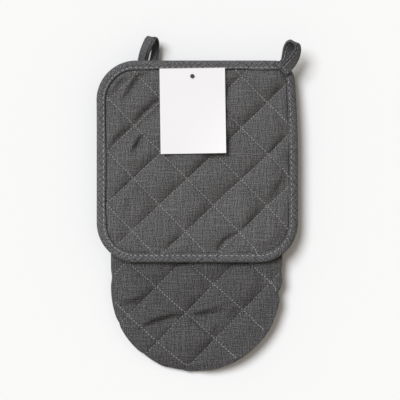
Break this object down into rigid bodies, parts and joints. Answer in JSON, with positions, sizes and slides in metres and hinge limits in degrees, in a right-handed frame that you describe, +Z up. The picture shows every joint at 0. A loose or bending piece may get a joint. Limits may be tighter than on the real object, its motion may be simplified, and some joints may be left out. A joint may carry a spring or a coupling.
{
  "type": "oven mitt",
  "caption": "Quilted thumbless oven mitt with a rounded end and hanging loop, a square quilted pot holder with a corner loop lying on it, and a bare card hang tag.",
  "frame": {"origin": "on the table, under the middle of the mitt's palm", "axes": "+Y from the mitt's round end towards its cuff and the hanging loops, +X to the right seen from above, +Z up off the table"},
  "size_m": [0.2056, 0.3318, 0.0362],
  "materials": {
    "mitt_cloth": "matte linen-look weave",
    "holder_cloth": "matte linen-look weave",
    "lining": "plain matte weave",
    "wadding": "loose matte fibre",
    "binding": "matte bias-cut weave",
    "thread": "matte sewing thread",
    "card": "smooth matte card",
    "tag_pin": "moulded gloss"
  },
  "bodies": {
    "mitt": {"mitt_back_cloth": "mitt_cloth", "mitt_back_wadding": "wadding", "mitt_back_lining": "lining", "mitt_back_quilting": "thread", "mitt_palm_cloth": "mitt_cloth", "mitt_palm_wadding": "wadding", "mitt_palm_lining": "lining", "mitt_palm_quilting": "thread", "mitt_cuff_binding": "binding", "mitt_cuff_stitching": "thread", "mitt_seam_stitching": "thread", "mitt_loop_tail": "binding"},
    "mitt_loop": {"mitt_loop_tape": "binding", "mitt_loop_stitching": "thread"},
    "pot_holder": {"holder_front_cloth": "holder_cloth", "holder_back_cloth": "holder_cloth", "holder_wadding": "wadding", "holder_binding": "binding", "holder_binding_stitching": "thread", "holder_front_quilting": "thread", "holder_back_quilting": "thread", "holder_loop_tail": "binding", "holder_loop_bartack": "thread", "tag_pin": "tag_pin"},
    "holder_loop": {"holder_loop_tape": "binding", "holder_loop_stitching": "thread"},
    "tag": {"hang_tag_card": "card"}
  },
  "joints": [
    {"name": "mitt_loop_swing", "type": "hinge", "parent": "mitt", "child": "mitt_loop", "pos_m": [-0.049, 0.1483, 0.013], "axis": [0, 0, 1], "range_deg": [-20, 20]},
    {"name": "holder_lift", "type": "slide", "parent": "mitt", "child": "pot_holder", "axis": [0, 0, 1], "range_m": [0, 0.15]},
    {"name": "holder_loop_fold", "type": "hinge", "parent": "pot_holder", "child": "holder_loop", "pos_m": [0.09621, 0.15471, 0.0273], "axis": [0.7071, -0.7071, 0], "range_deg": [0, 90]},
    {"name": "tag_turn", "type": "hinge", "parent": "pot_holder", "child": "tag", "pos_m": [-0.0041, 0.144, 0.0273], "axis": [0, 0, 1], "continuous": true}
  ]
}
